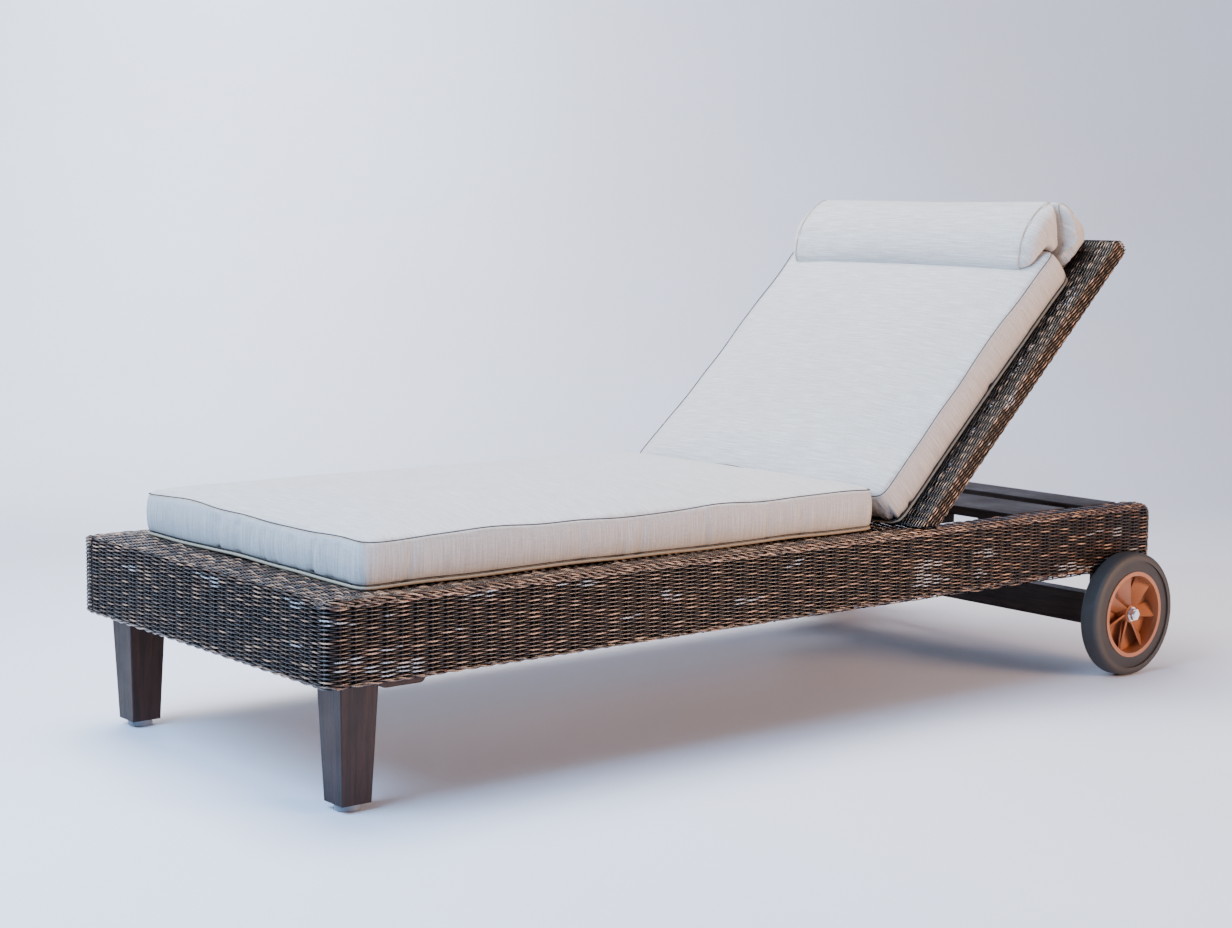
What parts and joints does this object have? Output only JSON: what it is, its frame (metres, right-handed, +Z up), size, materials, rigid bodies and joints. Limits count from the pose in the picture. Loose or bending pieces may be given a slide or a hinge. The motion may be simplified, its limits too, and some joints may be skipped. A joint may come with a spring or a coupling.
{
  "type": "reclining sun lounger",
  "caption": "Woven-rattan reclining sun lounger with rear wheels, prop-up backrest, seat and back cushions and a head pillow.",
  "frame": {"origin": "on the floor, under the middle of the whole lounger's bounding box", "axes": "+X towards the head end, -Y the left side of a person lying on it, +Z up"},
  "size_m": [2.002, 0.926, 0.9568],
  "materials": {
    "rattan": "espresso-stained woven rattan, satin",
    "frame_wood": "plain sawn hardwood under the weave",
    "leg_wood": "dark walnut stain, satin",
    "board_wood": "dark wenge stain, satin",
    "steel": "zinc-plated steel",
    "nut_chrome": "bright plated",
    "glide_plastic": "grey moulded plastic",
    "bush_plastic": "white nylon",
    "tyre_rubber": "smooth charcoal rubber",
    "band_plastic": "dark brown moulded plastic",
    "copper_plastic": "copper-coloured moulded plastic, satin",
    "cushion_fabric": "light greige heathered outdoor fabric"
  },
  "bodies": {
    "base": {"axle_board": "leg_wood", "axle_rod": "steel", "axle_washers": "steel", "board_bearers": "board_wood", "board_screws": "steel", "cap_nuts": "nut_chrome", "corner_blocks": "frame_wood", "foot_rail": "frame_wood", "front_board": "board_wood", "front_leg_left": "leg_wood", "front_leg_right": "leg_wood", "glides": "glide_plastic", "hinge_brackets": "steel", "hinge_rail": "frame_wood", "leg_bolts": "steel", "leg_braces": "leg_wood", "prop_rest": "board_wood", "rail_ledgers": "frame_wood", "rear_board": "board_wood", "rear_leg_left": "leg_wood", "rear_leg_right": "leg_wood", "seat_cushion": "cushion_fabric", "seat_slats": "frame_wood", "side_rail_left": "frame_wood", "side_rail_right": "frame_wood", "wicker_deck": "rattan", "wicker_foot": "rattan", "wicker_side_left": "rattan", "wicker_side_right": "rattan"},
    "backrest": {"back_battens": "frame_wood", "back_cushion": "cushion_fabric", "back_foot_rail": "frame_wood", "back_stile_left": "frame_wood", "back_stile_right": "frame_wood", "back_top_rail": "frame_wood", "head_pillow": "cushion_fabric", "hinge_pins": "steel", "hinge_washers": "bush_plastic", "pillow_band": "cushion_fabric", "pillow_counterweight": "cushion_fabric", "prop_brackets": "steel", "prop_pins": "steel", "wicker_back": "rattan", "wicker_back_top": "rattan", "wicker_stile_left": "rattan", "wicker_stile_right": "rattan"},
    "prop": {"prop_arm_left": "steel", "prop_arm_right": "steel", "prop_bar": "steel"},
    "wheel_left": {"hub_bush_left": "bush_plastic", "tyre_left": "tyre_rubber", "wheel_band_left": "band_plastic", "wheel_centre_left": "copper_plastic"},
    "wheel_right": {"hub_bush_right": "bush_plastic", "tyre_right": "tyre_rubber", "wheel_band_right": "band_plastic", "wheel_centre_right": "copper_plastic"}
  },
  "joints": [
    {"name": "backrest_hinge", "type": "hinge", "parent": "base", "child": "backrest", "pos_m": [0.343, 0, 0.37], "axis": [0, 1, 0], "range_deg": [0, 44]},
    {"name": "prop_pivot", "type": "hinge", "parent": "backrest", "child": "prop", "pos_m": [0.57797, 0, 0.58301], "axis": [0, 1, 0], "range_deg": [0, 47]},
    {"name": "wheel_left_spin", "type": "hinge", "parent": "base", "child": "wheel_left", "pos_m": [0.876, -0.437, 0.125], "axis": [0, 1, 0], "continuous": true},
    {"name": "wheel_right_spin", "type": "hinge", "parent": "base", "child": "wheel_right", "pos_m": [0.876, 0.437, 0.125], "axis": [0, 1, 0], "continuous": true}
  ],
  "couplings": [
    {"joint": "prop_pivot", "follows": "backrest_hinge", "ratio": 1.0682}
  ]
}
